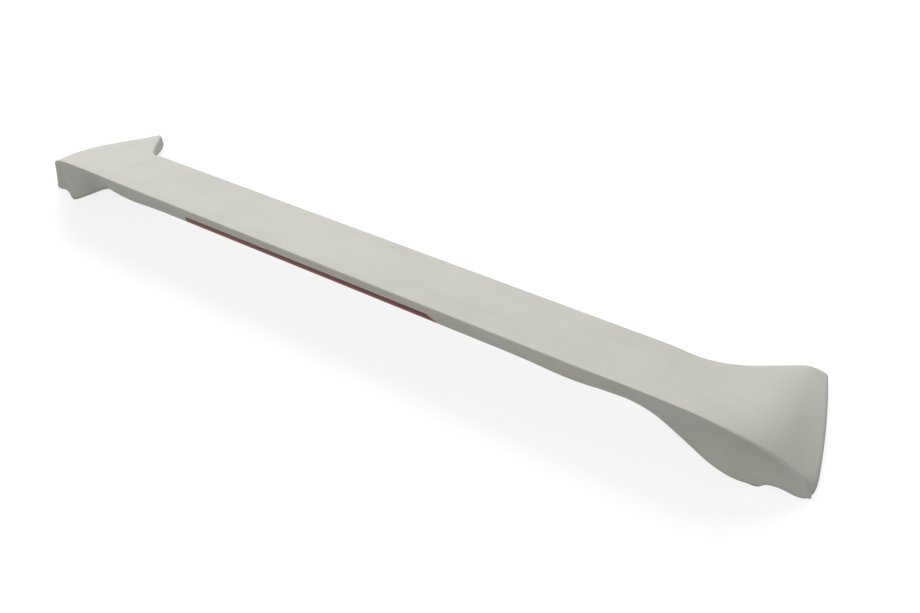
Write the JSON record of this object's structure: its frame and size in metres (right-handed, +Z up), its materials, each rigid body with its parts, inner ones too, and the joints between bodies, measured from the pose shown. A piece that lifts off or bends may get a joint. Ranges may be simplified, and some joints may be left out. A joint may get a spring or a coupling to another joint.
{
  "type": "trunk spoiler",
  "caption": "Pedestal rear spoiler: a long hollow blade on two swept feet, with a red brake lamp set in the band under its rear lip.",
  "frame": {"origin": "middle of the part's box at the height of the plane that the feet stand on", "axes": "+X along the blade towards the right foot, +Y towards the front of the car, +Z up"},
  "size_m": [1.186, 0.218, 0.1047],
  "materials": {
    "primer_top": "matte grey-white primer on moulded ABS",
    "primer_under": "matte grey-white primer on moulded ABS",
    "red_lens": "clear red acrylic",
    "seal_foam": "soft closed-cell foam",
    "black_plastic": "matte",
    "green_board": "solder resist",
    "led_white": "moulded epoxy",
    "resistor_black": "matte",
    "screw_steel": "zinc plated",
    "insert_brass": "plain brass",
    "pad_foam": "closed-cell foam tape",
    "black_rubber": "moulded rubber"
  },
  "bodies": {
    "root": {"upper_shell": "primer_top", "lower_shell": "primer_under", "foot_base_left": "primer_under", "foot_base_right": "primer_under", "lens": "red_lens", "lens_seal": "seal_foam", "lamp_housing": "black_plastic", "circuit_board": "green_board", "leds": "led_white", "resistors": "resistor_black", "lamp_screws": "screw_steel", "threaded_inserts": "insert_brass", "foot_pads": "pad_foam", "cable_grommet": "black_rubber"}
  },
  "joints": []
}
